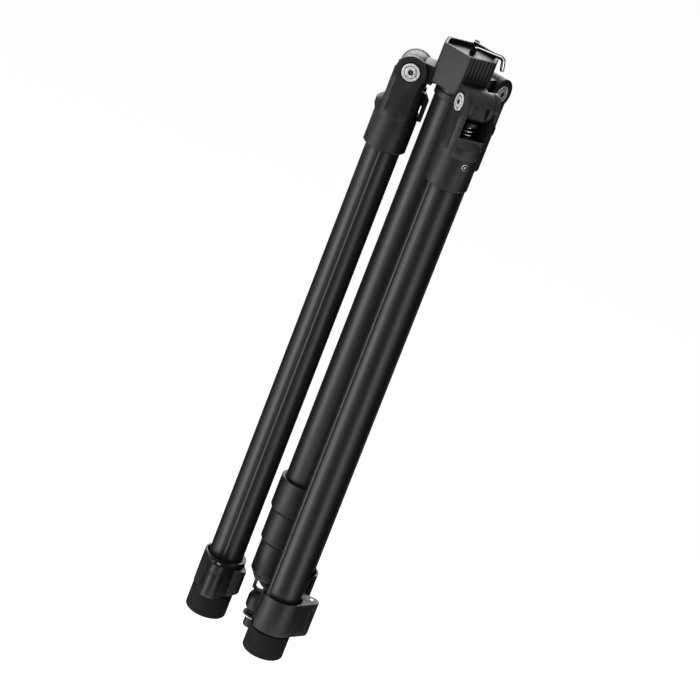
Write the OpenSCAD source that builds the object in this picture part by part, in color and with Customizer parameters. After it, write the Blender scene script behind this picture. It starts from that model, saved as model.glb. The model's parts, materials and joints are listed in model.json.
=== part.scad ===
/* [Leg tubes] */
// Clearance between the first twist collar and a leg's upper tube
leg_gap = 4.15; // [3:0.05:9]
// Outer radius of a leg's upper tube
tube_r = 12.5; // [11.5:0.1:13.5]
// Wall of a leg's upper tube
tube_wall = 1.3; // [1.1:0.1:1.8]
// Outer radius of a leg's sliding tube
inner_tube_r = 10.4; // [9.6:0.1:10.8]
// Wall of every sliding tube
inner_wall = 1; // [0.8:0.1:1.4]
// Width of the two grooves along a leg tube
groove_w = 2.6; // [1.5:0.1:4]
// Depth of the two grooves along a leg tube
groove_depth = 0.6; // [0.2:0.1:0.8]

/* [Heights] */
// Height of the head's end face above the soles
folded_h = 462.5; // [440:0.5:560]
// Distance from the head's end face down to the leg pivots
pivot_drop = 27.9; // [26:0.1:32]
// Distance from a leg pivot down to the seam under its bracket
bracket_drop = 35.6; // [34:0.1:40]
// Height of the sleeve under that seam
sleeve_h = 23.5; // [18:0.5:40]
// Height of a rubber foot
foot_h = 19.4; // [14:0.1:28]
// Height of a leg clamp
clamp_h = 26.6; // [24:0.1:32]

/* [Head] */
// Distance from the axis to a ribbed face of the head
rib_face_d = 20; // [18.5:0.1:21]
// Distance from the axis to a plain face of the head
plain_face_d = 18.1; // [17.6:0.1:19.5]
// Height of the head
head_h = 28.5; // [26:0.5:36]
// Number of grooves on a ribbed face
rib_count = 6; // [3:1:7]
// Radius of a hinge lug's barrel
lug_r = 11; // [10.5:0.1:12]
// Radius of a leg pivot's shaft
pivot_r = 3; // [2.5:0.1:4]
// Radius of a leg pivot's heads
pivot_head_r = 6.3; // [5:0.05:7]
// Thickness of the rim round the head's recess
rim_w = 2.2; // [1.6:0.1:3]
// Depth of the head's recess
recess_depth = 5.2; // [4:0.1:7]
// Radius of the ballast hook's wire
wire_r = 1.6; // [1:0.05:1.8]

/* [Brackets] */
// Half the width of a leg bracket across its cheeks
cheek_y = 13; // [12.6:0.1:14.5]
// Radius of the round top of a leg bracket
cheek_r = 11.2; // [10:0.1:12.5]
// Radius of the sleeve and of the bracket just above it
sleeve_r = 15.4; // [14.8:0.1:17]
// Height of the window's sill above the bracket's seam
sill_h = 14.5; // [12:0.1:16]
// Travel of a leg latch
latch_travel = 2; // [1:0.25:2.5]
// Radius of a latch spring to the middle of its wire
coil_r = 5.2; // [4:0.1:5.6]
// Radius of a latch spring's wire
coil_wire_r = 0.6; // [0.4:0.05:0.7]
// Curls of a latch spring
coil_turns = 6; // [3:1:8]

/* [Leg clamps] */
// Outer radius of a leg clamp's ring
clamp_r = 15.6; // [15.2:0.1:17.5]
// Distance from the leg's axis to a lever's pin
lever_pin_d = 22.2; // [21.5:0.1:23.5]
// Radius of the round end of a clamp's ear, about the lever's pin
knuckle_r = 5.8; // [4.6:0.1:6]
// Radius of a lever's pin
lever_pin_r = 1.5; // [1.2:0.1:1.8]
// Radius of a rubber foot
foot_r = 15.15; // [14.2:0.05:17]

/* [Column] */
// Outer radius of the column's first tube
col_r = 14.25; // [13.8:0.05:14.6]
// Wall of the column's tubes
col_wall = 1.2; // [1:0.1:1.3]
// Difference in outer radius from one column tube to the next
col_step = 1.75; // [1.7:0.05:1.9]
// Height of each twist collar
collar_h = 25.4; // [20:0.1:30]
// Outer radius of the first twist collar
collar_r = 17.1; // [16.6:0.1:18.5]
// Difference in outer radius from one twist collar to the next
collar_step = 1.55; // [1.2:0.05:1.7]
// Height of the column's spigot end above the soles
spigot_z = 1.6; // [0.5:0.1:8]
// Radius of the spigot
spigot_r = 8; // [7.9:0.05:8.1]
// Length of the spigot's straight wall
spigot_len = 5.5; // [4:0.1:7]
// Radius of the stud on the spigot's end
stud_r = 4.76; // [3.1:0.01:4.8]
// Length of the stud
stud_len = 7.8; // [5:0.1:9]

/* [Hidden] */
$fn = 96;

// Direction of each leg round the column
leg_turn = [180, 300, 60];

// Colours of the finishes
black = [0.09, 0.09, 0.095];
dark = [0.05, 0.05, 0.055];
rubber = [0.14, 0.14, 0.15];
steel = [0.75, 0.76, 0.78];

// Clearances: a running fit, parts at rest in one body, parts that pass, and the overrun of a cut
fit = 0.05;
seat = 0.02;
gap = 0.3;
over = 1;

// Distance from the column's axis to each leg's axis
leg_circle_r = collar_r + leg_gap + tube_r;

// Heights worked out from the driving sizes, and the gap above a foot
foot_gap = 1.1;
pivot_z = folded_h - pivot_drop;
head_z = folded_h - head_h;
seam_z = pivot_z - bracket_drop;
sleeve_z = seam_z - sleeve_h;
sill_z = seam_z + sill_h;
clamp_z = foot_h + foot_gap;
clamp_top = clamp_z + clamp_h;

// Head: recess, ribs, and the neck and notch of each lug
recess_z = folded_h - recess_depth;
insert_t = 2;
corner_r = 3;
corner_in = 1.2;
corner_steps = 3;
rib_w = 1.2;
rib_depth = 0.7;
rib_len = 15.5;
neck_up = 9;
neck_down = 4.4;
gusset_r = 3.2;
gusset_w = 8;
cheek_t = 3.4;
lug_y = cheek_y - cheek_t - gap;
notch_w = 11.2;
notch_up = 2.8;
notch_down = 7.6;
notch_depth = 2.6;
socket_z = recess_z - insert_t - gap;
plug_len = 12;
ferrule_h = 4.8;
ferrule_t = 1;

// Hook: its pivot leg, its arm and its splayed tip
hook_x = 0;
hook_rise = 3.2;
hook_z = folded_h + hook_rise;
hook_near = 4.3;
hook_far = 7;
hook_bend = 3;
hook_pin_r = wire_r + seat;
hook_reach = 22.2;
hook_tip = 6;
hook_splay = 12;
saddle_w = 3.6;
saddle_t = 2.6;

// Bracket: its reach, the slot between its cheeks, and the latch inside
bracket_out = 12.1;
bracket_in = 13.4;
slot_y = cheek_y - cheek_t;
lip_r = 17;
lip_top = 9.5;
lip_band = 4;
well_r = 7;
floor_t = 4;
floor_z = seam_z + floor_t;
bracket_plug_len = 18;
head_gap = lug_r + gap;
latch_top = pivot_z - head_gap;
latch_head_t = 2.8;
latch_head_r = well_r - gap;
latch_stem_r = 3;
arm_w = 6;
loop_out = 17.8;
loop_t = 3;
loop_drop = 1.7;
loop_slope = 6.6;
loop_slope_w = 3.7;
loop_head = 10.8;
loop_bar = 3.3;
loop_bottom = seam_z + latch_travel + gap;
spring_top = latch_top - latch_head_t - coil_wire_r - seat;
spring_bottom = floor_z + coil_wire_r + seat;
recess_head_depth = 1.1;
head_clear = 0.7;
head_t = 1.8;
bolt_share = 2 / 3;
bolt_len = bolt_share * 2 * cheek_y;
socket_share = 0.55;
groove_share = 0.68;
groove_step_share = 0.04;
groove_floor_share = 0.8;

// Sleeve and its screws
sleeve_chamfer = 0.8;
screw_r = 1.5;
screw_head_r = 2.3;
screw_head_t = 1.2;
screw_turn = 5;
screw_z = seam_z - 4.4;
screw_len = 7;

// Clamp: the body's ring, its half of the ear, its thumb lobe, and the lever with the other half
body_wall = 1.35;
body_r = tube_r + body_wall;
lever_in = body_r + gap;
guide_t = 3.6;
body_top_drop = 3.6;
pin_turn = 88;
ear_gap_turn = 2;
ear_split = 19.7;
lever_from_turn = -82;
lever_to_turn = 72;
ear_to_turn = 114;
ring_from_turn = 108;
ring_mid_turn = 190;
ring_to_turn = 235;
lobe_h = 22.4;
lobe_turn = 155;
lobe_d = 17;
lobe_r = 3.4;
lobe_foot_r = 7.5;
ear_foot_r = 4.4;
slot_turn = 68;
slot_w = 1;
slot_depth = 1.5;
slot_margin = 5.5;

// Direction of a tube's two grooves from the outward side
groove_turn = 83;

// Sliding leg tube and foot
sole_t = 4;
foot_chamfer = 1.6;
guide_bush_h = 26;
inner_drop = 4;
inner_top = sleeve_z - inner_drop;

// Column: radii of the tubes and collars, their lower ends and their upper ends
function col_tube_r(k) = col_r - k * col_step;
function col_bore_r(k) = col_tube_r(k) - col_wall;
function twist_r(k) = collar_r - k * collar_step;
cone_h = 6.6;
cone_foot_r = 8.6;
cone_cut = 2.4;
cone_up = 8;
fork_w = 10.8;
fork_foot_in = 4.2;
fork_foot_out = 6.2;
fork_foot_h = 3;
fork_out = 7.8;
fork_d = 6;
dome_r = 3;
waist_r = 5;
knob_low_h = 5.6;
knob_high_h = 7;
knob_steps = 8;
waist_h = 2.4;
flange_t = 1.4;
flange_r = 7.4;
relief_t = 1.3;
relief_r = 5.2;
stud_edge = 0.6;
function knob_edge(h, dz) = spigot_r * sqrt(1 - pow(dz / h, 2));
function knob_drop(h, r) = h * sqrt(1 - pow(r / spigot_r, 2));
knob_low_drop = knob_drop(knob_low_h, waist_r);
knob_high_drop = knob_drop(knob_high_h, dome_r);
fork_drop = knob_drop(knob_high_h, fork_foot_out);
stud_base = spigot_z + stud_len;
flange_z = stud_base + relief_t;
waist_z = flange_z + flange_t;
spigot_low = waist_z + waist_h + knob_low_drop;
spigot_high = spigot_low + spigot_len;
dome_z = spigot_high + knob_high_drop;
fork_z = spigot_high + fork_drop;
cone_z = dome_z + cone_up;
collar_z0 = cone_z + cone_h + gap;
function twist_z(k) = collar_z0 + (2 - k) * (collar_h + gap);
collar_chamfer = 1.2;
grip_h = 6;
collar_lip = 1.9;
collar_lap = collar_h - grip_h - collar_lip;
function col_low(k) = twist_z(k) + collar_h - collar_lap;
col_top_step = 10;
guide_h = 12;
function col_top(k) = socket_z - plug_len - k * col_top_step;

// The six corners of the head's outline, for given distances to its two kinds of face
function head_corner(near, far, turn_near, turn_far) = [
    (near * sin(turn_far) - far * sin(turn_near)) / sin(turn_far - turn_near),
    (far * cos(turn_near) - near * cos(turn_far)) / sin(turn_far - turn_near)
];
function head_points(rib_d, plain_d) = [
    for (k = [0:2], side = [-1, 1])
        head_corner(rib_d, plain_d, 60 + 120 * k, 60 + 120 * k + side * 60)
];
function head_rounded(points, r) = [
    for (k = [0:len(points) - 1])
        let (here = points[k], before = points[(k + len(points) - 1) % len(points)], after = points[(k + 1) % len(points)],
             back = (before - here) / norm(before - here), on = (after - here) / norm(after - here),
             inward = (back + on) / norm(back + on), half_turn = acos(back * on) / 2,
             centre = here + inward * r / sin(half_turn), mid = atan2(-inward[1], -inward[0]))
        for (j = [-corner_steps:corner_steps]) centre + polar(r, mid + j * (90 - half_turn) / corner_steps)
];
function head_outline(rib_d, plain_d, r) = head_rounded(head_points(rib_d, plain_d), r);

// A point of the leg's plane, from its distance and its direction
function polar(d, turn) = [d * cos(turn), d * sin(turn)];

// Where the straight flank between two rounds meets them
function flank_turn(big_r, small_r, d) = acos((big_r - small_r) / d);

module at_leg(i) {
    rotate([0, 0, leg_turn[i]]) translate([leg_circle_r, 0, 0]) children();
}

module ring(r_out, r_in, h) {
    difference() {
        cylinder(r = r_out, h = h);
        translate([0, 0, -over]) cylinder(r = r_in, h = h + 2 * over);
    }
}

// A bar along Y, centred on the leg's plane
module bar_y(r, half_w) {
    rotate([90, 0, 0]) cylinder(r = r, h = 2 * half_w, center = true);
}

// A block given by its lowest and highest corners
module block(low, high) {
    translate(low) cube(high - low);
}

module head_lug() {
    translate([leg_circle_r, 0, pivot_z]) bar_y(lug_r, lug_y);
    block([rib_face_d - rim_w, -lug_y, pivot_z - neck_down], [leg_circle_r, lug_y, pivot_z + neck_up]);
    translate([rib_face_d - gusset_r, 0, head_z]) bar_y(gusset_r, gusset_w / 2);
}

module head_lug_cuts() {
    translate([leg_circle_r, 0, pivot_z]) {
        bar_y(pivot_r + fit, lug_y + over);
        block([lug_r - notch_depth, -notch_w / 2, -notch_down], [lug_r + over, notch_w / 2, notch_up]);
    }
    rib_pitch = 2 * (plain_face_d - rib_face_d / 2) / sin(60) / (rib_count + 1);
    for (j = [0:rib_count - 1])
        translate([rib_face_d - rib_depth, (j - (rib_count - 1) / 2) * rib_pitch - rib_w / 2, folded_h - rib_len])
            cube([rib_depth + over, rib_w, rib_len + over]);
}

module head() {
    color(black) difference() {
        union() {
            translate([0, 0, head_z]) linear_extrude(head_h) polygon(head_outline(rib_face_d, plain_face_d, corner_r));
            for (turn = leg_turn) rotate([0, 0, turn]) head_lug();
        }
        for (turn = leg_turn) rotate([0, 0, turn]) head_lug_cuts();
        translate([0, 0, recess_z])
            linear_extrude(recess_depth + over)
                polygon(head_outline(rib_face_d - rim_w, plain_face_d - rim_w, corner_in));
        translate([0, 0, head_z - gusset_r - over]) cylinder(r = col_r + fit, h = head_h + gusset_r + over);
    }
}

module head_insert() {
    color(dark) difference() {
        union() {
            translate([0, 0, recess_z + seat])
                linear_extrude(insert_t)
                    polygon(head_outline(rib_face_d - rim_w - gap, plain_face_d - rim_w - gap, corner_in));
            translate([0, 0, socket_z - plug_len]) cylinder(r = col_r, h = recess_z + over - socket_z + plug_len);
            for (y = [hook_bend - hook_near, hook_far - saddle_t])
                block([hook_x - saddle_w / 2, y, recess_z + over],
                      [hook_x + saddle_w / 2, y + saddle_t, hook_z + wire_r + over]);
        }
        translate([hook_x, 0, hook_z]) bar_y(hook_pin_r + fit, hook_far);
    }
}

module head_ferrule() {
    color(dark) translate([0, 0, head_z - ferrule_h - gusset_r - gap])
        ring(col_r + ferrule_t, col_r + seat, ferrule_h);
}

// The faces of a closed tube of rings, each of the same number of points
function tube_faces(rings, sides) = concat(
    [for (i = [0:rings - 2], j = [0:sides - 1])
        let (a = i * sides + j, b = i * sides + (j + 1) % sides)
        each [[a, b, a + sides], [b, b + sides, a + sides]]],
    [for (j = [1:sides - 2]) [0, j + 1, j]],
    let (last = (rings - 1) * sides) [for (j = [1:sides - 2]) [last, last + j, last + j + 1]]
);

// The hook's arm: each ring has a centre, a side direction and a raised direction
hook_sides = 12;
hook_steps = 8;
function hook_ring(centre, side, up) = [
    for (j = [0:hook_sides - 1])
        let (a = j * 360 / hook_sides) centre + wire_r * (cos(a) * side + sin(a) * up)
];
function hook_first_bend(a) = hook_ring(
    [hook_bend * (1 - cos(a)), hook_bend * (1 - sin(a)) - hook_near, 0], [-cos(a), -sin(a), 0], [0, 0, 1]);
function hook_second_bend(a) = hook_ring(
    [hook_reach - hook_bend * (1 - sin(a)), -hook_near, -hook_bend * (1 - cos(a))], [0, -1, 0], [sin(a), 0, cos(a)]);
hook_last = 90 - hook_splay;
hook_end = [
    hook_reach - hook_bend * (1 - sin(hook_last)) + hook_tip * cos(hook_last),
    -hook_near,
    -hook_bend * (1 - cos(hook_last)) - hook_tip * sin(hook_last)
];
hook_points = concat(
    hook_ring([0, hook_bend + wire_r - hook_near, 0], [-1, 0, 0], [0, 0, 1]),
    [for (i = [0:hook_steps]) each hook_first_bend(90 * i / hook_steps)],
    [for (i = [0:hook_steps]) each hook_second_bend(hook_last * i / hook_steps)],
    hook_ring(hook_end, [0, -1, 0], [sin(hook_last), 0, cos(hook_last)])
);

module ballast_hook() {
    color(steel) translate([hook_x, 0, hook_z]) {
        translate([0, hook_bend - hook_near, 0]) rotate([-90, 0, 0])
            cylinder(r = hook_pin_r, h = hook_near - hook_bend + hook_far);
        polyhedron(points = hook_points, faces = tube_faces(len(hook_points) / hook_sides, hook_sides));
    }
}

module column_tube(k) {
    color(black) translate([0, 0, col_low(k)]) ring(col_tube_r(k), col_bore_r(k), col_top(k) - col_low(k));
}

module column_last_tube() {
    color(black) translate([0, 0, cone_z + cone_h + gap])
        ring(col_tube_r(3), col_bore_r(3), col_top(3) - cone_z - cone_h - gap);
}

module twist_collar(k) {
    color(dark) translate([0, 0, twist_z(k)]) difference() {
        rotate_extrude() polygon([
            [0, 0], [twist_r(k) - collar_chamfer, 0], [twist_r(k), collar_chamfer],
            [twist_r(k), collar_h], [0, collar_h]
        ]);
        translate([0, 0, -over]) cylinder(r = col_tube_r(k + 1) + fit, h = collar_h);
        translate([0, 0, collar_h - collar_lap - grip_h - gap])
            cylinder(r = col_tube_r(k) + fit, h = collar_h + over);
    }
}

module grip_bush(k) {
    color(rubber) translate([0, 0, col_low(k) - grip_h])
        ring(col_tube_r(k) - seat, col_tube_r(k + 1) + fit, grip_h - seat);
}

module guide_ring(k) {
    color(rubber) translate([0, 0, col_top(k) - guide_h])
        ring(col_bore_r(k - 1) - fit, col_tube_r(k) + seat, guide_h);
}

module spigot() {
    color(dark) difference() {
        union() {
            rotate_extrude() polygon(concat(
                [[0, spigot_z], [stud_r - stud_edge, spigot_z], [stud_r, spigot_z + stud_edge],
                 [stud_r, stud_base], [relief_r, stud_base], [relief_r, flange_z], [flange_r, flange_z],
                 [flange_r, waist_z], [waist_r, waist_z]],
                [for (i = [knob_steps:-1:0]) let (dz = knob_low_drop * i / knob_steps)
                    [knob_edge(knob_low_h, dz), spigot_low - dz]],
                [for (i = [0:knob_steps]) let (dz = knob_high_drop * i / knob_steps)
                    [knob_edge(knob_high_h, dz), spigot_high + dz]],
                [[0, dome_z]]
            ));
            translate([0, 0, cone_z]) cylinder(r1 = cone_foot_r, r2 = twist_r(2) - collar_chamfer, h = cone_h);
            translate([0, 0, cone_z + cone_cut]) cylinder(r = col_bore_r(3) - seat, h = cone_h + plug_len);
            intersection() {
                block([-fork_out, -fork_d / 2, spigot_high], [fork_out, fork_d / 2, cone_z + cone_cut]);
                union() {
                    translate([0, 0, spigot_high]) cylinder(r = fork_foot_out, h = cone_z - spigot_high);
                    translate([0, 0, fork_z + fork_foot_h]) cylinder(r = fork_out, h = cone_z + cone_cut - fork_z);
                }
            }
        }
        block([-fork_foot_in, -cone_foot_r, dome_z], [fork_foot_in, cone_foot_r, cone_z]);
        block([-fork_w / 2, -cone_foot_r - cone_h, fork_z + fork_foot_h], [fork_w / 2, cone_foot_r + cone_h, cone_z + cone_cut]);
    }
}

module leg_bracket() {
    color(black) difference() {
        union() {
            intersection() {
                translate([0, 0, seam_z]) cylinder(r = sleeve_r, h = pivot_z - seam_z);
                block([-bracket_in, -cheek_y, seam_z], [bracket_out, cheek_y, pivot_z]);
            }
            translate([0, 0, seam_z]) rotate_extrude() polygon([
                [0, 0], [sleeve_r, 0], [sleeve_r, lip_band], [cheek_y, lip_top], [0, lip_top]
            ]);
            intersection() {
                translate([0, 0, seam_z]) rotate_extrude() polygon([
                    [0, 0], [sleeve_r, 0], [lip_r, lip_band], [lip_r, lip_top - over],
                    [cheek_y - over, lip_top + lip_band], [0, lip_top + lip_band]
                ]);
                block([0, -slot_y - over, seam_z], [lip_r + over, slot_y + over, pivot_z]);
            }
            translate([0, 0, pivot_z]) bar_y(cheek_r, cheek_y);
            translate([0, 0, seam_z - bracket_plug_len])
                cylinder(r = tube_r - tube_wall - seat, h = bracket_plug_len + over);
        }
        block([-lip_r - over, -slot_y, latch_top + seat], [lip_r + over, slot_y, pivot_z + cheek_r + over]);
        block([0, -slot_y, sill_z], [lip_r + over, slot_y, pivot_z]);
        translate([0, 0, floor_z]) cylinder(r = well_r, h = pivot_z - floor_z);
        translate([0, 0, seam_z - bracket_plug_len + floor_t])
            cylinder(r = latch_stem_r + fit, h = bracket_plug_len + floor_t + over);
        block([-lip_r, -arm_w / 2 - gap, latch_top - latch_head_t - latch_travel - gap],
              [0, arm_w / 2 + gap, latch_top + over]);
        translate([0, 0, pivot_z]) {
            bar_y(pivot_r + seat, cheek_y + over);
            for (side = [-1, 1])
                translate([0, side * cheek_y, 0]) bar_y(pivot_head_r + head_clear, recess_head_depth);
        }
        block([-lip_r - over, -arm_w / 2 - gap, seam_z - over], [-bracket_in, arm_w / 2 + gap, pivot_z]);
        screw_hole();
    }
}

// The radial hole of the sleeve's screw, cut alike through sleeve, tube and bracket
module screw_hole() {
    rotate([0, 0, screw_turn]) translate([sleeve_r - screw_len, 0, screw_z]) rotate([0, 90, 0])
        cylinder(r = screw_r + seat, h = screw_len + over);
}

module leg_sleeve() {
    color(black) difference() {
        translate([0, 0, sleeve_z]) difference() {
            rotate_extrude() polygon([
                [0, 0], [sleeve_r - sleeve_chamfer, 0], [sleeve_r, sleeve_chamfer], [sleeve_r, sleeve_h - seat],
                [0, sleeve_h - seat]
            ]);
            translate([0, 0, -over]) cylinder(r = tube_r + seat, h = sleeve_h + 2 * over);
        }
        screw_hole();
        rotate([0, 0, screw_turn]) translate([sleeve_r - screw_head_t, 0, screw_z]) rotate([0, 90, 0])
            cylinder(r = screw_head_r + seat, h = screw_head_t + over);
    }
}

module hex_socket(r, depth) {
    cylinder(r = r, h = depth, $fn = 6);
}

// A pivot half: its head stands in the cheek's recess, its shaft ends at the leg's plane
module pivot_half(side, shaft_r, shaft_len) {
    color(steel) translate([0, side * (cheek_y - recess_head_depth + seat), pivot_z]) rotate([-side * 90, 0, 0])
        difference() {
            union() {
                cylinder(r = pivot_head_r, h = head_t);
                translate([0, 0, -shaft_len]) cylinder(r = shaft_r, h = shaft_len + over);
            }
            translate([0, 0, head_t / 2]) hex_socket(socket_share * pivot_r, head_t);
            translate([0, 0, groove_floor_share * head_t])
                ring((groove_share + groove_step_share) * pivot_head_r,
                     (groove_share - groove_step_share) * pivot_head_r, head_t);
        }
}

module leg_pivot_bolt() {
    pivot_half(1, pivot_r, bolt_len - recess_head_depth);
}

module leg_pivot_nut() {
    pivot_half(-1, pivot_r, 2 * cheek_y - bolt_len - recess_head_depth - gap);
}

module leg_screws() {
    color(steel) {
        rotate([0, 0, screw_turn]) translate([sleeve_r - screw_head_t + seat, 0, screw_z]) rotate([0, 90, 0])
            difference() {
                union() {
                    cylinder(r = screw_head_r, h = screw_head_t);
                    translate([0, 0, screw_head_t - screw_len + gap]) cylinder(r = screw_r, h = screw_len - screw_head_t);
                }
                translate([0, 0, screw_head_t / 2]) hex_socket(socket_share * screw_r, screw_head_t);
            }
    }
}

module leg_tube() {
    color(black) difference() {
        translate([0, 0, clamp_z + guide_t + seat])
            ring(tube_r, tube_r - tube_wall, seam_z - clamp_z - guide_t - 2 * seat);
        for (side = [-1, 1])
            rotate([0, 0, side * groove_turn])
                block([tube_r - groove_depth, -groove_w / 2, 0], [tube_r + over, groove_w / 2, folded_h]);
        screw_hole();
    }
}

module ear_outline(far_d, far_r, far_turn, base_r) {
    spread = flank_turn(base_r, far_r, far_d);
    polygon([
        polar(base_r, far_turn - spread),
        polar(far_d, far_turn) + polar(far_r, far_turn - spread),
        polar(far_d, far_turn) + polar(far_r, far_turn + spread),
        polar(base_r, far_turn + spread)
    ]);
    translate(polar(far_d, far_turn)) circle(r = far_r);
}

// A wedge of the leg's plane between two directions, less than half a turn apart
module wedge(from, to, r) {
    mid = (from + to) / 2;
    polygon([[0, 0], polar(r, from), polar(r, (from + mid) / 2), polar(r, mid), polar(r, (to + mid) / 2), polar(r, to)]);
}

// What a foot of the given radius leaves of a piece's lower outer corner, in the radial plane
module under_corner(reach, foot_r) {
    difference() {
        block([reach - foot_r, -tube_r, clamp_z - over], [reach + over, tube_r, clamp_z + foot_r]);
        translate([reach - foot_r, 0, clamp_z + foot_r]) bar_y(foot_r, tube_r + over);
    }
}

// The ear's outline between two directions
module ear_part(from, to) {
    intersection() {
        ear_outline(lever_pin_d, knuckle_r, pin_turn, clamp_r - gap / 2);
        wedge(from, to, 2 * lever_pin_d);
    }
}

module at_pin() {
    translate(concat(polar(lever_pin_d, pin_turn), 0)) children();
}

module leg_clamp() {
    color(dark) difference() {
        union() {
            translate([0, 0, clamp_z]) cylinder(r = body_r, h = clamp_h - body_top_drop);
            translate([0, 0, clamp_z]) linear_extrude(clamp_h) intersection() {
                circle(r = clamp_r);
                union() {
                    wedge(ring_from_turn, ring_mid_turn, 2 * clamp_r);
                    wedge(ring_mid_turn - 1, ring_to_turn, 2 * clamp_r);
                }
            }
            difference() {
                translate([0, 0, clamp_z]) linear_extrude(clamp_h) ear_part(pin_turn, ear_to_turn);
                at_pin() cylinder(r = knuckle_r + gap, h = clamp_z + ear_split + gap);
                rotate([0, 0, pin_turn]) under_corner(lever_pin_d + knuckle_r, ear_foot_r);
            }
            at_pin() translate([0, 0, clamp_z + ear_split + gap]) cylinder(r = knuckle_r, h = clamp_h - ear_split - gap);
            difference() {
                translate([0, 0, clamp_z]) linear_extrude(lobe_h) union() {
                    ear_outline(lobe_d, lobe_r, lobe_turn, clamp_r - gap);
                    difference() {
                        ear_part(ear_to_turn - 1, lobe_turn);
                        translate(polar(lever_pin_d, pin_turn)) circle(r = knuckle_r + gap);
                    }
                }
                rotate([0, 0, lobe_turn]) under_corner(lobe_d + lobe_r, lobe_foot_r);
            }
        }
        translate([0, 0, clamp_z - over]) cylinder(r = inner_tube_r + fit, h = clamp_h);
        translate([0, 0, clamp_z + guide_t]) cylinder(r = tube_r + seat, h = clamp_h);
        at_pin() cylinder(r = lever_pin_r + seat, h = clamp_top + over);
    }
}

module leg_lever_pin() {
    color(steel) at_pin() translate([0, 0, clamp_z + gap]) cylinder(r = lever_pin_r, h = clamp_h);
}

module leg_lever() {
    color(dark) difference() {
        translate([0, 0, clamp_z + gap / 2]) linear_extrude(clamp_h - gap / 2) {
            difference() {
                union() {
                    intersection() {
                        circle(r = clamp_r);
                        union() {
                            wedge(lever_from_turn, 0, 2 * clamp_r);
                            wedge(-1, lever_to_turn, 2 * clamp_r);
                        }
                    }
                    ear_part(0, pin_turn - ear_gap_turn);
                    translate(polar(lever_pin_d, pin_turn)) circle(r = knuckle_r);
                }
                circle(r = lever_in);
            }
        }
        at_pin() {
            cylinder(r = lever_pin_r + fit, h = clamp_top + over);
            translate([0, 0, clamp_z + ear_split]) cylinder(r = knuckle_r + gap, h = clamp_h);
        }
        rotate([0, 0, pin_turn]) under_corner(lever_pin_d + knuckle_r, ear_foot_r);
        rotate([0, 0, slot_turn])
            block([clamp_r / cos(slot_turn - pin_turn + flank_turn(clamp_r, knuckle_r, lever_pin_d)) - slot_depth,
                   -slot_w / 2, clamp_z + slot_margin],
                  [lever_pin_d + knuckle_r, slot_w / 2, clamp_top - slot_margin]);
    }
}

module leg_latch() {
    head_low = latch_top - latch_head_t;
    color(dark) {
        translate([0, 0, head_low]) cylinder(r = latch_head_r, h = latch_head_t);
        translate([0, 0, floor_z - floor_t - latch_travel])
            cylinder(r = latch_stem_r, h = head_low - floor_z + floor_t + latch_travel + over);
        block([-bracket_in - over, -arm_w / 2, head_low], [0, arm_w / 2, latch_top - loop_drop]);
        rotate([90, 0, 0]) linear_extrude(arm_w, center = true) difference() {
            polygon([
                [-bracket_in - gap, loop_bottom], [-loop_out, loop_bottom], [-loop_out, latch_top - loop_slope],
                [loop_slope_w - loop_out, latch_top - loop_drop], [-bracket_in - gap, latch_top - loop_drop]
            ]);
            translate([loop_t - loop_out, loop_bottom + loop_bar])
                square([loop_t, latch_top - loop_head - loop_bottom - loop_bar]);
        }
    }
}

// A helix of wire as one closed tube: rings of points along the curve, joined face by face
rings_per_turn = 8;
wire_sides = 6;
function coil_point(a) = let (u = a / (360 * coil_turns))
    [coil_r * cos(a), coil_r * sin(a), spring_bottom + u * (spring_top - spring_bottom)];
function coil_rings() = coil_turns * rings_per_turn;
function coil_ring(i) = let (
    a = i * 360 / rings_per_turn,
    centre = coil_point(a),
    slope = atan((spring_top - spring_bottom) / (2 * PI * coil_r * coil_turns)),
    out = [cos(a), sin(a), 0],
    up = [sin(a) * sin(slope), -cos(a) * sin(slope), cos(slope)]
) [for (j = [0:wire_sides - 1]) centre + coil_wire_r * (cos(j * 360 / wire_sides) * out + sin(j * 360 / wire_sides) * up)];

module leg_spring() {
    points = [for (i = [0:coil_rings()]) each coil_ring(i)];
    color(steel) polyhedron(points = points, faces = tube_faces(coil_rings() + 1, wire_sides));
}

// The least gap of the spring to itself, measured between points a turn apart
spring_gap = min([for (i = [0:coil_rings() - rings_per_turn])
    norm(coil_point((i + rings_per_turn) * 360 / rings_per_turn) - coil_point(i * 360 / rings_per_turn))
    - 2 * coil_wire_r]);
echo("least gap of a latch spring to itself, mm", spring_gap);

module leg_inner_tube() {
    color(black) translate([0, 0, sole_t + seat])
        ring(inner_tube_r, inner_tube_r - inner_wall, inner_top - sole_t);
}

module leg_guide_bush() {
    color(rubber) translate([0, 0, inner_top - guide_bush_h])
        ring(tube_r - tube_wall - fit, inner_tube_r + seat, guide_bush_h);
}

module leg_foot() {
    color(rubber) difference() {
        rotate_extrude() polygon([
            [0, 0], [foot_r - foot_chamfer, 0], [foot_r, foot_chamfer], [foot_r, foot_h], [0, foot_h]
        ]);
        translate([0, 0, sole_t]) cylinder(r = inner_tube_r + seat, h = foot_h);
    }
}

head();
head_insert();
head_ferrule();
ballast_hook();
column_tube(0);  // column_tube_1
column_tube(1);  // column_tube_2
column_tube(2);  // column_tube_3
column_last_tube();  // column_tube_4
twist_collar(0);  // twist_collar_1
twist_collar(1);  // twist_collar_2
twist_collar(2);  // twist_collar_3
grip_bush(0);  // grip_bush_1
grip_bush(1);  // grip_bush_2
grip_bush(2);  // grip_bush_3
guide_ring(1);  // guide_ring_2
guide_ring(2);  // guide_ring_3
guide_ring(3);  // guide_ring_4
spigot();
at_leg(0) leg_bracket();  // leg_a_bracket
at_leg(0) leg_sleeve();  // leg_a_sleeve
at_leg(0) leg_pivot_bolt();  // leg_a_pivot_bolt
at_leg(0) leg_pivot_nut();  // leg_a_pivot_nut
at_leg(0) leg_screws();  // leg_a_screws
at_leg(0) leg_tube();  // leg_a_tube
at_leg(0) leg_clamp();  // leg_a_clamp
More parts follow.
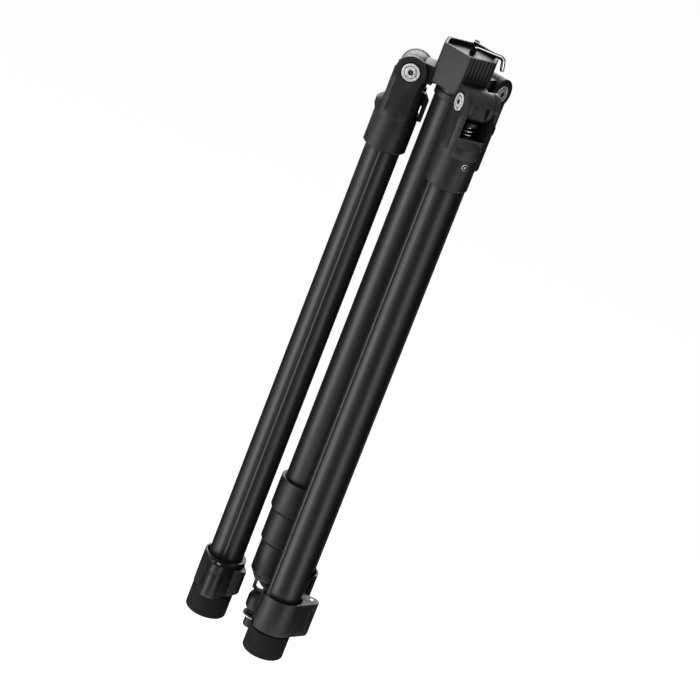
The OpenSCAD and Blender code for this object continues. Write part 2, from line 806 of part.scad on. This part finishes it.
at_leg(0) leg_lever_pin();  // leg_a_lever_pin
at_leg(0) leg_lever();  // leg_a_lever
at_leg(0) leg_latch();  // leg_a_latch
at_leg(0) leg_spring();  // leg_a_spring
at_leg(0) leg_inner_tube();  // leg_a_inner_tube
at_leg(0) leg_guide_bush();  // leg_a_guide_bush
at_leg(0) leg_foot();  // leg_a_foot
at_leg(1) leg_bracket();  // leg_b_bracket
at_leg(1) leg_sleeve();  // leg_b_sleeve
at_leg(1) leg_pivot_bolt();  // leg_b_pivot_bolt
at_leg(1) leg_pivot_nut();  // leg_b_pivot_nut
at_leg(1) leg_screws();  // leg_b_screws
at_leg(1) leg_tube();  // leg_b_tube
at_leg(1) leg_clamp();  // leg_b_clamp
at_leg(1) leg_lever_pin();  // leg_b_lever_pin
at_leg(1) leg_lever();  // leg_b_lever
at_leg(1) leg_latch();  // leg_b_latch
at_leg(1) leg_spring();  // leg_b_spring
at_leg(1) leg_inner_tube();  // leg_b_inner_tube
at_leg(1) leg_guide_bush();  // leg_b_guide_bush
at_leg(1) leg_foot();  // leg_b_foot
at_leg(2) leg_bracket();  // leg_c_bracket
at_leg(2) leg_sleeve();  // leg_c_sleeve
at_leg(2) leg_pivot_bolt();  // leg_c_pivot_bolt
at_leg(2) leg_pivot_nut();  // leg_c_pivot_nut
at_leg(2) leg_screws();  // leg_c_screws
at_leg(2) leg_tube();  // leg_c_tube
at_leg(2) leg_clamp();  // leg_c_clamp
at_leg(2) leg_lever_pin();  // leg_c_lever_pin
at_leg(2) leg_lever();  // leg_c_lever
at_leg(2) leg_latch();  // leg_c_latch
at_leg(2) leg_spring();  // leg_c_spring
at_leg(2) leg_inner_tube();  // leg_c_inner_tube
at_leg(2) leg_guide_bush();  // leg_c_guide_bush
at_leg(2) leg_foot();  // leg_c_foot
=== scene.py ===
"""A folding light stand, folded, with its finishes. All lengths are metres, in the row frame."""
import json
import math

import bpy
from mathutils import Matrix, Vector


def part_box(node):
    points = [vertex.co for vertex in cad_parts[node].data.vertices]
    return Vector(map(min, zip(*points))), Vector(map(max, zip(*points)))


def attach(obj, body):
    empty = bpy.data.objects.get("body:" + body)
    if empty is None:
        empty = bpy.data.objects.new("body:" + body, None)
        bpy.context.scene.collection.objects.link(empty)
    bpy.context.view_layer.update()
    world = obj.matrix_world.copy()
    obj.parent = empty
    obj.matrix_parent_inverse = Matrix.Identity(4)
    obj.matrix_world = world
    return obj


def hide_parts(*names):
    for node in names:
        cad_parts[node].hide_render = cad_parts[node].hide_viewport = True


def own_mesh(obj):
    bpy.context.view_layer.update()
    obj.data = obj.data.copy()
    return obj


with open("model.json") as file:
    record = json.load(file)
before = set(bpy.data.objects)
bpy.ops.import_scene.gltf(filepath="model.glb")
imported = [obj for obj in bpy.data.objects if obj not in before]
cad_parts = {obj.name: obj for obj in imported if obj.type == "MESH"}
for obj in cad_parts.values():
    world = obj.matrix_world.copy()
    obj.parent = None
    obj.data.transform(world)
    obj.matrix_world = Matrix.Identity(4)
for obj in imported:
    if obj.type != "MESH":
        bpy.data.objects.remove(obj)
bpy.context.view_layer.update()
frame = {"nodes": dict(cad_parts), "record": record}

NODES = frame["nodes"]
MM = 0.001
# The turn of each leg round the column. All angles are degrees
LEGS = {"a": 180.0, "b": 300.0, "c": 60.0}
QUARTER_TURN, HALF_TURN, FULL_TURN = 90.0, 180.0, 360.0

# The photograph's frame, and the camera that was worked out from the tubes' edges in it
PHOTO_SIDE_PX = 700
FOCAL_PX = 3692.35
CAMERA_AZIMUTH = 2.8
CAMERA_ELEVATION = 19.6
CAMERA_ROLL = 21.34
CAMERA_DISTANCE = 2.6
CAMERA_TARGET = Vector((-0.00401, 0.0, 0.22723))
SENSOR_MM = 36.0
CLIP_NEAR, CLIP_FAR = 0.05, 100.0

WHITE = (1.0, 1.0, 1.0, 1.0)
FLOOR_Z = -1.25
FLOOR_HALF = 30.0
FLOOR_COLOUR = (0.82, 0.82, 0.82, 1.0)
FLOOR_GLOW = 0.86
WORLD_LIGHT = 0.12
BACKGROUND_LIGHT = 1.0

# Each lamp: azimuth, elevation, distance, width, height, watts, and whether gloss mirrors it
LAMPS = {
    "key_left": (-58, -14, 2.4, 0.9, 2.2, 42, True),
    "key_right": (46, -14, 2.4, 0.7, 2.2, 16, True),
    "fill": (-22, 10, 2.4, 1.4, 1.4, 58, False),
    "top": (-20, 78, 2.4, 1.4, 1.4, 10, True),
    "back": (182, 23, 2.6, 3.2, 1.3, 76, True),
}
# Each black card: the azimuths of its two ends, its radius, and the heights of its two edges
FLAGS = {
    "flag_right": (80, 172, 1.6, -1.2, 1.6),
    "flag_low": (172, 262, 1.6, -1.2, 0.1),
    "flag_front": (-22, 24, 1.9, -1.2, 1.6),
}
FLAG_STEPS = 8
FLAG_COLOUR = (0.004, 0.004, 0.004, 1.0)


def add_object(name, data):
    obj = bpy.data.objects.new(name, data)
    bpy.context.scene.collection.objects.link(obj)
    return obj


def from_stand(azimuth, elevation):
    """The direction from the stand to the camera, a lamp or a card. Azimuth 0 is towards -Y."""
    a, e = math.radians(azimuth), math.radians(elevation)
    return Vector((math.sin(a) * math.cos(e), -math.cos(a) * math.cos(e), math.sin(e)))


def make_camera():
    azimuth, roll = math.radians(CAMERA_AZIMUTH), math.radians(CAMERA_ROLL)
    back = from_stand(CAMERA_AZIMUTH, CAMERA_ELEVATION)
    right = Vector((math.cos(azimuth), math.sin(azimuth), 0.0))
    up = back.cross(right)
    turned_right = right * math.cos(roll) + up * math.sin(roll)
    turned_up = up * math.cos(roll) - right * math.sin(roll)
    data = bpy.data.cameras.new("camera")
    data.sensor_width = SENSOR_MM
    data.lens = SENSOR_MM * FOCAL_PX / PHOTO_SIDE_PX
    data.clip_start, data.clip_end = CLIP_NEAR, CLIP_FAR
    camera = add_object("camera", data)
    place = Matrix((turned_right, turned_up, back)).transposed().to_4x4()
    place.translation = CAMERA_TARGET + back * CAMERA_DISTANCE
    camera.matrix_world = place
    bpy.context.scene.camera = camera


def shader(name):
    """A new node material with an empty tree but for its output."""
    material = bpy.data.materials.new(name)
    material.use_nodes = True
    material.node_tree.nodes.clear()
    return material, material.node_tree.nodes.new("ShaderNodeOutputMaterial")


def add_node(tree, kind, **inputs):
    """A new node, with the inputs that are named here set."""
    node = tree.nodes.new(kind)
    for name, value in inputs.items():
        node.inputs[name.replace("_", " ")].default_value = value
    return node


def larger(tree, first, second):
    node = add_node(tree, "ShaderNodeMath")
    node.operation = "MAXIMUM"
    tree.links.new(first, node.inputs[0])
    tree.links.new(second, node.inputs[1])
    return node.outputs[0]


def seen_directly(tree):
    """1 for rays of the camera and for those that gloss and glass send on, 0 for light."""
    rays = add_node(tree, "ShaderNodeLightPath").outputs
    seen_or_mirrored = larger(tree, rays["Is Camera Ray"], rays["Is Glossy Ray"])
    return larger(tree, seen_or_mirrored, rays["Is Transmission Ray"])


def make_stage():
    """A plain pale floor, far enough below the stand for its column to reach out downwards."""
    mesh = bpy.data.meshes.new("floor")
    half = FLOOR_HALF
    sides = ((-half, -half), (half, -half), (half, half), (-half, half))
    corners = [(x, y, FLOOR_Z) for x, y in sides]
    mesh.from_pydata(corners, [], [(0, 1, 2, 3)])
    floor = add_object("floor", mesh)
    material, output = shader("floor_white")
    tree = material.node_tree
    matte = add_node(tree, "ShaderNodeBsdfDiffuse", Color=FLOOR_COLOUR)
    glow = add_node(tree, "ShaderNodeEmission")
    scale = add_node(tree, "ShaderNodeMath")
    scale.operation = "MULTIPLY"
    scale.inputs[1].default_value = FLOOR_GLOW
    tree.links.new(seen_directly(tree), scale.inputs[0])
    tree.links.new(scale.outputs[0], glow.inputs["Strength"])
    both = add_node(tree, "ShaderNodeAddShader")
    tree.links.new(matte.outputs[0], both.inputs[0])
    tree.links.new(glow.outputs[0], both.inputs[1])
    tree.links.new(both.outputs[0], output.inputs["Surface"])
    mesh.materials.append(material)


def make_world():
    """A dim white world, which is plain white where it is seen or mirrored."""
    world = bpy.data.worlds.new("world")
    bpy.context.scene.world = world
    world.use_nodes = True
    tree = world.node_tree
    tree.nodes.clear()
    output = add_node(tree, "ShaderNodeOutputWorld")
    dim = add_node(tree, "ShaderNodeBackground", Strength=WORLD_LIGHT, Color=WHITE)
    white = add_node(tree, "ShaderNodeBackground", Strength=BACKGROUND_LIGHT, Color=WHITE)
    mix = add_node(tree, "ShaderNodeMixShader")
    tree.links.new(seen_directly(tree), mix.inputs[0])
    tree.links.new(dim.outputs[0], mix.inputs[1])
    tree.links.new(white.outputs[0], mix.inputs[2])
    tree.links.new(mix.outputs[0], output.inputs["Surface"])


def soft_box(name, azimuth, elevation, distance, width, height, power, mirrored):
    data = bpy.data.lights.new(name, "AREA")
    data.shape = "RECTANGLE"
    data.size, data.size_y = width, height
    data.energy = power
    lamp = add_object(name, data)
    back = from_stand(azimuth, elevation)
    lamp.location = CAMERA_TARGET + back * distance
    lamp.visible_glossy = mirrored
    lamp.rotation_mode = "QUATERNION"
    lamp.rotation_quaternion = back.to_track_quat("Z", "Y")


def dark_flag(name, start, end, radius, low, high):
    """A curved black card, seen in the stand's glossy sides alone."""
    points = []
    for i in range(FLAG_STEPS + 1):
        foot = from_stand(start + (end - start) * i / FLAG_STEPS, 0.0) * radius
        points += [(foot.x, foot.y, low), (foot.x, foot.y, high)]
    faces = [(2 * i, 2 * i + 1, 2 * i + 3, 2 * i + 2) for i in range(FLAG_STEPS)]
    mesh = bpy.data.meshes.new(name)
    mesh.from_pydata(points, [], faces)
    card = add_object(name, mesh)
    material, output = shader("flag_black")
    matte = add_node(material.node_tree, "ShaderNodeBsdfDiffuse", Color=FLAG_COLOUR)
    material.node_tree.links.new(matte.outputs[0], output.inputs["Surface"])
    mesh.materials.append(material)
    card.visible_camera = card.visible_shadow = card.visible_diffuse = False


def make_lights():
    for name, values in LAMPS.items():
        soft_box(name, *values)
    for name, values in FLAGS.items():
        dark_flag(name, *values)


# Gloss fades in gaps as painted shade: how open a place is, 0 to 1, where it is least and whole, and
# its least share
GLOSS_CLOSED, GLOSS_OPEN = 0.45, 0.85
GLOSS_LEAST_SHARE = 0.04
GLOSS_SAMPLES = 6
# Where a noise's dark and light lumps begin
NOISE_LOW, NOISE_HIGH = 0.3, 0.7


class Finish:
    """One procedural material: a Principled surface whose textures are laid out in metres."""

    def __init__(self, name, **values):
        self.material, output = shader(name)
        self.tree = self.material.node_tree
        self.surface = add_node(self.tree, "ShaderNodeBsdfPrincipled", **values)
        self.tree.links.new(self.surface.outputs[0], output.inputs["Surface"])
        self.place = add_node(self.tree, "ShaderNodeTexCoord").outputs["Object"]

    def noise(self, grain, detail, roughness, stretch=None):
        """Noise whose lumps are about grain metres across; a stretch under 1 draws them along Z."""
        node = add_node(self.tree, "ShaderNodeTexNoise", Scale=1.0 / grain, Detail=detail)
        node.inputs["Roughness"].default_value = roughness
        place = self.place
        if stretch:
            mapping = add_node(self.tree, "ShaderNodeMapping", Scale=(1, 1, stretch))
            self.tree.links.new(place, mapping.inputs["Vector"])
            place = mapping.outputs["Vector"]
        self.tree.links.new(place, node.inputs["Vector"])
        return node.outputs["Fac"]

    def colour(self, value, *stops):
        """The base colour along value, from stops that are a place and a red, green and blue."""
        node = add_node(self.tree, "ShaderNodeValToRGB")
        marks = node.color_ramp.elements
        while len(marks) < len(stops):
            marks.new(0.5)
        for mark, (place, *rgb) in zip(marks, stops):
            mark.position = place
            mark.color = (*rgb, 1.0)
        self.tree.links.new(value, node.inputs["Fac"])
        self.drive("Base Color", node.outputs["Color"])

    def grey(self, value, low, high, start=NOISE_LOW, end=NOISE_HIGH):
        """A number from low to high as value goes from start to end."""
        limits = {"From_Min": start, "From_Max": end, "To_Min": low, "To_Max": high}
        node = add_node(self.tree, "ShaderNodeMapRange", **limits)
        self.tree.links.new(value, node.inputs["Value"])
        return node.outputs["Result"]

    def drive(self, socket, output):
        self.tree.links.new(output, self.surface.inputs[socket])

    def rough(self, value, low, high):
        self.drive("Roughness", self.grey(value, low, high))

    def bump(self, *heights):
        """Raises the surface by each height, which is a value and its depth in metres, in turn."""
        normal = None
        for height, depth in heights:
            node = add_node(self.tree, "ShaderNodeBump", Distance=depth)
            self.tree.links.new(height, node.inputs["Height"])
            if normal:
                self.tree.links.new(normal, node.inputs["Normal"])
            normal = node.outputs["Normal"]
        self.drive("Normal", normal)

    def gloss(self, level, reach):
        """The specular level, which fades away in gaps and grooves about reach metres wide: painted
        shade there.
        """
        shade = add_node(self.tree, "ShaderNodeAmbientOcclusion", Distance=reach)
        shade.samples = GLOSS_SAMPLES
        least, openness = GLOSS_LEAST_SHARE * level, shade.outputs["AO"]
        self.drive("Specular IOR Level", self.grey(openness, least, level, GLOSS_CLOSED, GLOSS_OPEN))


def tube_black():
    """Satin black anodising over a finely grained tube, a little dusty in places."""
    finish = Finish("tube_black", Metallic=0.0, IOR=1.45)
    # Painted shade: the gloss fades in the grooves and gaps
    finish.gloss(0.36, 2 * MM)
    speck = finish.noise(0.45 * MM, 3.0, 0.6)
    cloud = finish.noise(14 * MM, 3.0, 0.55, stretch=0.25)
    finish.colour(speck, (0.35, 0.003, 0.003, 0.003), (0.62, 0.008, 0.008, 0.009))
    finish.rough(cloud, 0.34, 0.4)
    finish.bump((speck, 0.035 * MM))
    return finish.material


def cast_black():
    """Powder coat on castings: a fine orange peel, a little uneven in its black."""
    finish = Finish("cast_black", Metallic=0.0, IOR=1.45)
    # Painted shade: the gloss fades in the recesses and gaps
    finish.gloss(0.39, 12 * MM)
    peel = finish.noise(0.8 * MM, 2.0, 0.5)
    cloud = finish.noise(9 * MM, 3.0, 0.5)
    finish.colour(cloud, (0.3, 0.002, 0.002, 0.002), (0.7, 0.005, 0.005, 0.006))
    finish.rough(peel, 0.46, 0.56)
    finish.bump((peel, 0.03 * MM))
    return finish.material


def moulded_black():
    """Glass-filled plastic with a fine spark-eroded texture."""
    finish = Finish("moulded_black", Metallic=0.0, IOR=1.46)
    # Painted shade: the gloss fades in the recesses and gaps
    finish.gloss(0.36, 6 * MM)
    grain = finish.noise(0.35 * MM, 4.0, 0.65)
    cloud = finish.noise(7 * MM, 2.0, 0.5)
    finish.colour(cloud, (0.3, 0.002, 0.002, 0.002), (0.7, 0.005, 0.005, 0.006))
    finish.rough(grain, 0.42, 0.52)
    finish.bump((grain, 0.03 * MM))
    return finish.material


def rubber_black():
    """Matte rubber with a dull, uneven bloom."""
    finish = Finish("rubber_black", Metallic=0.0, IOR=1.4)
    # Painted shade: the gloss fades in the gaps
    finish.gloss(0.2, 2 * MM)
    grain = finish.noise(0.5 * MM, 4.0, 0.6)
    bloom = finish.noise(6 * MM, 3.0, 0.6)
    finish.colour(bloom, (0.3, 0.003, 0.003, 0.003), (0.75, 0.007, 0.007, 0.008))
    finish.rough(grain, 0.68, 0.85)
    finish.bump((grain, 0.04 * MM), (bloom, 0.024 * MM))
    return finish.material


def bush_grey():
    """Self-coloured acetal, faintly mottled."""
    finish = Finish("bush_grey", Metallic=0.0, IOR=1.48)
    cloud = finish.noise(3 * MM, 2.0, 0.5)
    finish.colour(cloud, (0.3, 0.045, 0.045, 0.047), (0.7, 0.060, 0.060, 0.062))
    finish.rough(cloud, 0.4, 0.5)
    return finish.material


def bright_steel():
    """Turned and plated steel: fine scratches and faint stains."""
    finish = Finish("bright_steel", Metallic=0.6)
    scratch = finish.noise(0.25 * MM, 4.0, 0.7)
    cloud = finish.noise(1.3 * MM, 3.0, 0.6)
    finish.colour(cloud, (0.36, 0.36, 0.36, 0.35), (0.6, 0.78, 0.78, 0.76))
    finish.rough(scratch, 0.24, 0.42)
    finish.bump((scratch, 0.008 * MM))
    return finish.material


def chrome_wire():
    """Polished wire with a painted reflection in its base colour: light where it faces the eye, and
    dark at its sides like a dark room mirrored, from wherever it is seen.
    """
    finish = Finish("chrome_wire", Metallic=1.0, Specular_Tint=(0.04, 0.04, 0.04, 1.0))
    cloud = finish.noise(1.5 * MM, 3.0, 0.6)
    # Painted reflection: base colour light where the wire faces the eye and dark towards its sides,
    # and a dark specular tint keeps the sides dark
    painted_reflection_facing = add_node(finish.tree, "ShaderNodeLayerWeight", Blend=0.5).outputs["Facing"]
    bright = ((0.0, 0.86, 0.86, 0.86), (0.07, 0.8, 0.8, 0.8))
    dark = ((0.17, 0.03, 0.03, 0.03), (1.0, 0.012, 0.012, 0.012))
    finish.colour(painted_reflection_facing, *bright, *dark)
    finish.rough(cloud, 0.08, 0.18)
    return finish.material


def spring_steel():
    """Drawn spring wire, unevenly bright along its length."""
    finish = Finish("spring_steel", Metallic=1.0)
    drawn = finish.noise(0.5 * MM, 3.0, 0.6)
    finish.colour(drawn, (0.3, 0.34, 0.34, 0.34), (0.7, 0.60, 0.60, 0.60))
    finish.rough(drawn, 0.2, 0.36)
    return finish.material


MAKERS = (
    tube_black, cast_black, moulded_black, rubber_black,
    bush_grey, bright_steel, chrome_wire, spring_steel,
)
MATERIALS = {maker.__name__: maker() for maker in MAKERS}
SLOT_OF_NODE = {s["node"]: s["material_slot"] for s in frame["record"]["subparts"]}

# From here on sizes are millimetres, as in the CAD
LEG_CIRCLE_R = 33.75

# Rounded edges: their width in each finish, and on the brackets
SOFT_EDGE = {"cast_black": 0.55, "moulded_black": 0.45, "rubber_black": 0.8, "bright_steel": 0.18}
OTHER_EDGE = 0.15
BRACKET_EDGE = 0.8
EDGE_ANGLE = 32.0
EDGE_SEGMENTS = 3
WELD_REACH = 0.002
FLAT_ANGLE = 0.5


def in_metres():
    return Matrix.Scale(MM, 4)


def turned(angle, axis):
    return Matrix.Rotation(math.radians(angle), 4, axis)


def at_leg(leg):
    """From a leg's own axes, in millimetres, to the row frame in metres."""
    return in_metres() @ turned(LEGS[leg], "Z") @ Matrix.Translation((LEG_CIRCLE_R, 0, 0))


def box_mm(node):
    return [Vector(corner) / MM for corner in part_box(node)]


def paint(obj, slot):
    obj.data.materials.clear()
    obj.data.materials.append(MATERIALS[slot])
    for face in obj.data.polygons:
        face.material_index = 0
        face.use_smooth = True


def soften(obj, width):
    """Rounds hard edges: joins the points, clears lines across flat faces, then bevels."""
    weld = obj.modifiers.new("weld", "WELD")
    weld.merge_threshold = WELD_REACH * MM
    flat = obj.modifiers.new("flat", "DECIMATE")
    flat.decimate_type = "DISSOLVE"
    flat.angle_limit = math.radians(FLAT_ANGLE)
    bevel = obj.modifiers.new("bevel", "BEVEL")
    bevel.width = width * MM
    bevel.segments = EDGE_SEGMENTS
    bevel.limit_method = "ANGLE"
    bevel.angle_limit = math.radians(EDGE_ANGLE)
    bevel.use_clamp_overlap = True
    bevel.harden_normals = True


def dress_cad():
    """Every node that stays gets its finish, and edges rounded to suit it."""
    for name, obj in NODES.items():
        slot = SLOT_OF_NODE[name]
        paint(obj, slot)
        soften(obj, BRACKET_EDGE if name.endswith("bracket") else SOFT_EDGE.get(slot, OTHER_EDGE))


def piece(name, points, faces, place, body, slot, *nodes):
    """A new smooth mesh that rides on a body, and stands for the CAD nodes that are named."""
    mesh = bpy.data.meshes.new(name)
    mesh.from_pydata([place @ Vector(p) for p in points], [], faces)
    mesh.validate()
    obj = add_object(name, mesh)
    paint(obj, slot)
    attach(obj, body)
    if nodes:
        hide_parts(*nodes)
    return obj


def skin(rings, closed_ends=True):
    """Points and faces of a tube through rings that all have the same number of points."""
    count = len(rings[0])
    points = [p for ring in rings for p in ring]
    faces = []
    for i in range(len(rings) - 1):
        for j in range(count):
            a, b = i * count + j, i * count + (j + 1) % count
            faces.append((a, b, b + count, a + count))
    if closed_ends:
        faces.append(tuple(reversed(range(count))))
        faces.append(tuple(range(len(points) - count, len(points))))
    return points, faces


END_ROUND = 0.3


def wire(path, radius, sides):
    """Points and faces of a round wire along a path, its ends rounded a little."""
    path = [Vector(p) for p in path]
    last = len(path) - 1
    spans = [(path[max(i - 1, 0)], path[min(i + 1, last)]) for i in range(last + 1)]
    directions = [(after - before).normalized() for before, after in spans]
    side = directions[0].orthogonal().normalized()
    rings = []
    for point, direction in zip(path, directions):
        side = (side - direction * side.dot(direction)).normalized()
        other = direction.cross(side)
        turns = [2 * math.pi * j / sides for j in range(sides)]
        rings.append([point + radius * (math.cos(t) * side + math.sin(t) * other) for t in turns])
    ends = []
    for i, out in ((0, -directions[0]), (last, directions[last])):
        tip = path[i] + out * END_ROUND * radius
        ends.append([tip + (p - path[i]) * (1 - END_ROUND) for p in rings[i]])
    return skin([ends[0]] + rings + [ends[1]])


def arc_3d(centre, first, second, end, steps=12):
    """Points of an arc from one direction towards another, both at the radius from its centre."""
    turns = [math.radians(end * i / steps) for i in range(steps + 1)]
    centre, first, second = Vector(centre), Vector(first), Vector(second)
    return [centre + math.cos(t) * first + math.sin(t) * second for t in turns]


HOOK_WIRE_R = 1.6
HOOK_REACH = 22.2
HOOK_TIP = 6.0
HOOK_SPLAY = 12.0
HOOK_BEND_R = 3.0
HOOK_SIDES = 20
PIVOT_LEG_STEPS, BAR_STEPS, TIP_STEPS = 8, 10, 5


def make_hook():
    """The ballast hook: its pivot leg along Y, a bend to the long bar, and a splayed tip."""
    low, high = box_mm("ballast_hook")
    x, z = low.x + HOOK_WIRE_R, high.z - HOOK_WIRE_R
    near, far = low.y + HOOK_WIRE_R, high.y
    reach, r = x + HOOK_REACH, HOOK_BEND_R
    bar = reach - 2 * r - x
    drop = QUARTER_TURN - HOOK_SPLAY
    run = near + r - far
    path = [Vector((x, far + run * i / PIVOT_LEG_STEPS, z)) for i in range(PIVOT_LEG_STEPS)]
    path += arc_3d((x + r, near + r, z), (-r, 0, 0), (0, -r, 0), QUARTER_TURN)
    path += [Vector((x + r + bar * i / BAR_STEPS, near, z)) for i in range(1, BAR_STEPS)]
    path += arc_3d((reach - r, near, z - r), (0, 0, r), (r, 0, 0), drop)
    down = Vector((math.cos(math.radians(drop)), 0, -math.sin(math.radians(drop))))
    # Each step of the tip starts from the bend's end, which is the path's last point here
    path += [path[-1] + down * HOOK_TIP * i / TIP_STEPS for i in range(1, TIP_STEPS + 1)]
    points, faces = wire(path, HOOK_WIRE_R, HOOK_SIDES)
    piece("hook_wire", points, faces, in_metres(), "hook", "chrome_wire", "ballast_hook")


TUBE_R = 12.5
TUBE_WALL = 1.3
TUBE_RINGS = 12
TUBE_TURN_STEP = 3.0
GROOVE_W = 2.6
GROOVE_DEPTH = 0.6
GROOVE_TURN = 83.0
GROOVE_SIDES = (-1, 1)
GROOVE_HALF = math.degrees(GROOVE_W / 2 / TUBE_R)
# The rounded lip of a groove: its half width, the points across it, and the curve of its rise
LIP = 0.35 * GROOVE_HALF
LIP_MARK_SHARES = (1, 1 / 3, -1 / 4, -1)
LIP_RUN = 1.6 * LIP
LIP_POWER = 1.5
LIP_CLEAR = 1.5 * LIP


def off_groove(turn):
    """How far a turn lies from the middle of the nearer groove, in degrees."""
    offs = [turn - side * GROOVE_TURN + HALF_TURN for side in GROOVE_SIDES]
    return min(abs(off % FULL_TURN - HALF_TURN) for off in offs)


def groove_depth(off):
    """The depth at so many degrees from a groove's middle."""
    if off >= GROOVE_HALF + LIP:
        return 0.0
    rise = min(max((off - GROOVE_HALF + LIP) / LIP_RUN, 0.0), 1.0)
    return GROOVE_DEPTH * (1.0 - rise ** LIP_POWER)


def tube_outline():
    """The radius and turn of each point round the upper tube, closer together at the grooves."""
    lips = [sign * (GROOVE_HALF + share * LIP) for sign in (-1, 1) for share in LIP_MARK_SHARES]
    middles = [side * GROOVE_TURN for side in GROOVE_SIDES]
    marks = [(middle + offset) % FULL_TURN for middle in middles for offset in lips + [0.0]]
    plain = [i * TUBE_TURN_STEP for i in range(round(FULL_TURN / TUBE_TURN_STEP))]
    plain = [turn for turn in plain if off_groove(turn) > GROOVE_HALF + LIP_CLEAR]
    turns = sorted(marks + plain)
    return [(TUBE_R - groove_depth(off_groove(turn)), math.radians(turn)) for turn in turns]


def make_leg_tube(leg):
    """The upper tube, its two shallow grooves with rounded lips."""
    low, high = box_mm(f"leg_{leg}_tube")
    outline = tube_outline()
    heights = [low.z + (high.z - low.z) * i / TUBE_RINGS for i in range(TUBE_RINGS + 1)]
    bore = TUBE_R - TUBE_WALL
    outer = [[(r * math.cos(t), r * math.sin(t), z) for r, t in outline] for z in heights]
    inner = [[(bore * math.cos(t), bore * math.sin(t), z) for _, t in outline] for z in heights]
    points, faces = skin(outer, closed_ends=False)
    more, inside = skin(inner, closed_ends=False)
    start, count = len(points), len(outline)
    points += more
    faces += [tuple(start + v for v in reversed(face)) for face in inside]
    last = TUBE_RINGS * count
    for j in range(count):
        k = (j + 1) % count
        faces.append((k, j, start + j, start + k))
        faces.append((last + j, last + k, start + last + k, start + last + j))
    piece(f"tube_{leg}", points, faces, at_leg(leg), f"leg_{leg}", "tube_black", f"leg_{leg}_tube")


COIL_R = 5.2
COIL_WIRE_R = 0.6
COIL_TURNS = 6
COIL_STEPS = 28
COIL_SIDES = 10


def make_spring(leg):
    """The latch's spring, wound by a formula."""
    low, high = box_mm(f"leg_{leg}_spring")
    bottom, top = low.z + COIL_WIRE_R, high.z - COIL_WIRE_R
    steps = COIL_TURNS * COIL_STEPS
    path = []
    for i in range(steps + 1):
        turn, height = 2 * math.pi * COIL_TURNS * i / steps, bottom + (top - bottom) * i / steps
        path.append((COIL_R * math.cos(turn), COIL_R * math.sin(turn), height))
    points, faces = wire(path, COIL_WIRE_R, COIL_SIDES)
    node = f"leg_{leg}_spring"
    spring = piece(f"spring_{leg}", points, faces, at_leg(leg), f"leg_{leg}", "spring_steel", node)
    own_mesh(spring)


def lathe(profile, steps):
    """Points and faces of a ring: a closed profile of (radius, height) turned round Z."""
    count = len(profile)
    turns = [2 * math.pi * i / steps for i in range(steps)]
    points = [(r * math.cos(t), r * math.sin(t), z) for t in turns for r, z in profile]
    faces = []
    for i in range(steps):
        here, there = i * count, (i + 1) % steps * count
        for j in range(count):
            k = (j + 1) % count
            faces.append((here + j, there + j, there + k, here + k))
    return points, faces


WASHER_IN, WASHER_OUT, WASHER_T = 5.25, 6.5, 1.1
WASHER_UP = 8.0
WASHER_EDGE = 0.25
WASHER_STEPS = 72


def make_washer():
    """The bright washer that lies against the spigot's flange, round the stud's foot."""
    low, _ = box_mm("spigot")
    bottom, top, edge = low.z + WASHER_UP, low.z + WASHER_UP + WASHER_T, WASHER_EDGE
    profile = [(WASHER_IN, bottom), (WASHER_OUT - edge, bottom), (WASHER_OUT, bottom + edge),
               (WASHER_OUT, top - edge), (WASHER_OUT - edge, top), (WASHER_IN, top)]
    points, faces = lathe(profile, WASHER_STEPS)
    piece("stud_washer", points, faces, in_metres(), "column_4", "bright_steel")


# The screw of a sleeve, and the profile of the ring on its head, from the sleeve's side outwards
SCREW_TURN, SCREW_BELOW_SEAM = 5.0, 4.4
SLEEVE_R = 15.4
SCREW_RING = ((0.75, 0.0), (1.95, 0.0), (1.95, 0.16), (0.75, 0.16))
SCREW_RING_STEPS = 40


def make_screw_ring(leg):
    """A thin dark ring laid on the head of the sleeve's screw, round its socket."""
    _, high = box_mm(f"leg_{leg}_sleeve")
    on_sleeve = Matrix.Translation((SLEEVE_R, 0, high.z - SCREW_BELOW_SEAM))
    place = at_leg(leg) @ turned(SCREW_TURN, "Z") @ on_sleeve @ turned(QUARTER_TURN, "Y")
    points, faces = lathe(SCREW_RING, SCREW_RING_STEPS)
    piece(f"screw_ring_{leg}", points, faces, place, f"leg_{leg}", "moulded_black")


# Profiles of the painted shade rings of a pivot head, in its gap, its groove and its socket: radius,
# and height above the middle of the leg
PIVOT_Z = 434.6
PIVOT_GAP_SHADE = ((6.35, 12.3), (6.98, 12.3), (7.25, 12.8), (7.6, 12.99), (7.6, 13.02), (6.35, 13.02))
PIVOT_GROOVE_SHADE = ((4.02, 13.3), (4.55, 13.3), (4.55, 13.62), (4.02, 13.62))
PIVOT_SOCKET_SHADE = ((0.5, 13.6), (1.9, 13.6), (1.9, 13.75), (0.5, 13.75))
PIVOT_RING_STEPS = 56


def make_pivot_shade_rings(leg, side, end):
    """Painted shade: dark rings in the rubber finish, laid in the gap, the groove and the socket of
    one pivot head.
    """
    place = at_leg(leg) @ Matrix.Translation((0, 0, PIVOT_Z)) @ turned(-QUARTER_TURN * side, "X")
    points, faces = [], []
    for profile in (PIVOT_GAP_SHADE, PIVOT_GROOVE_SHADE, PIVOT_SOCKET_SHADE):
        more, rings = lathe(profile, PIVOT_RING_STEPS)
        faces += [tuple(len(points) + v for v in face) for face in rings]
        points += more
    piece(f"pivot_shade_rings_{leg}_{end}", points, faces, place, f"leg_{leg}", "rubber_black")


make_camera()
make_world()
make_lights()
make_stage()
dress_cad()
make_hook()
make_washer()
for each_leg in LEGS:
    make_leg_tube(each_leg)
    make_spring(each_leg)
    make_screw_ring(each_leg)
    # Painted shade rings at both ends of each pivot
    make_pivot_shade_rings(each_leg, 1, "bolt")
    make_pivot_shade_rings(each_leg, -1, "nut")

bpy.context.scene.view_settings.view_transform = "Standard"
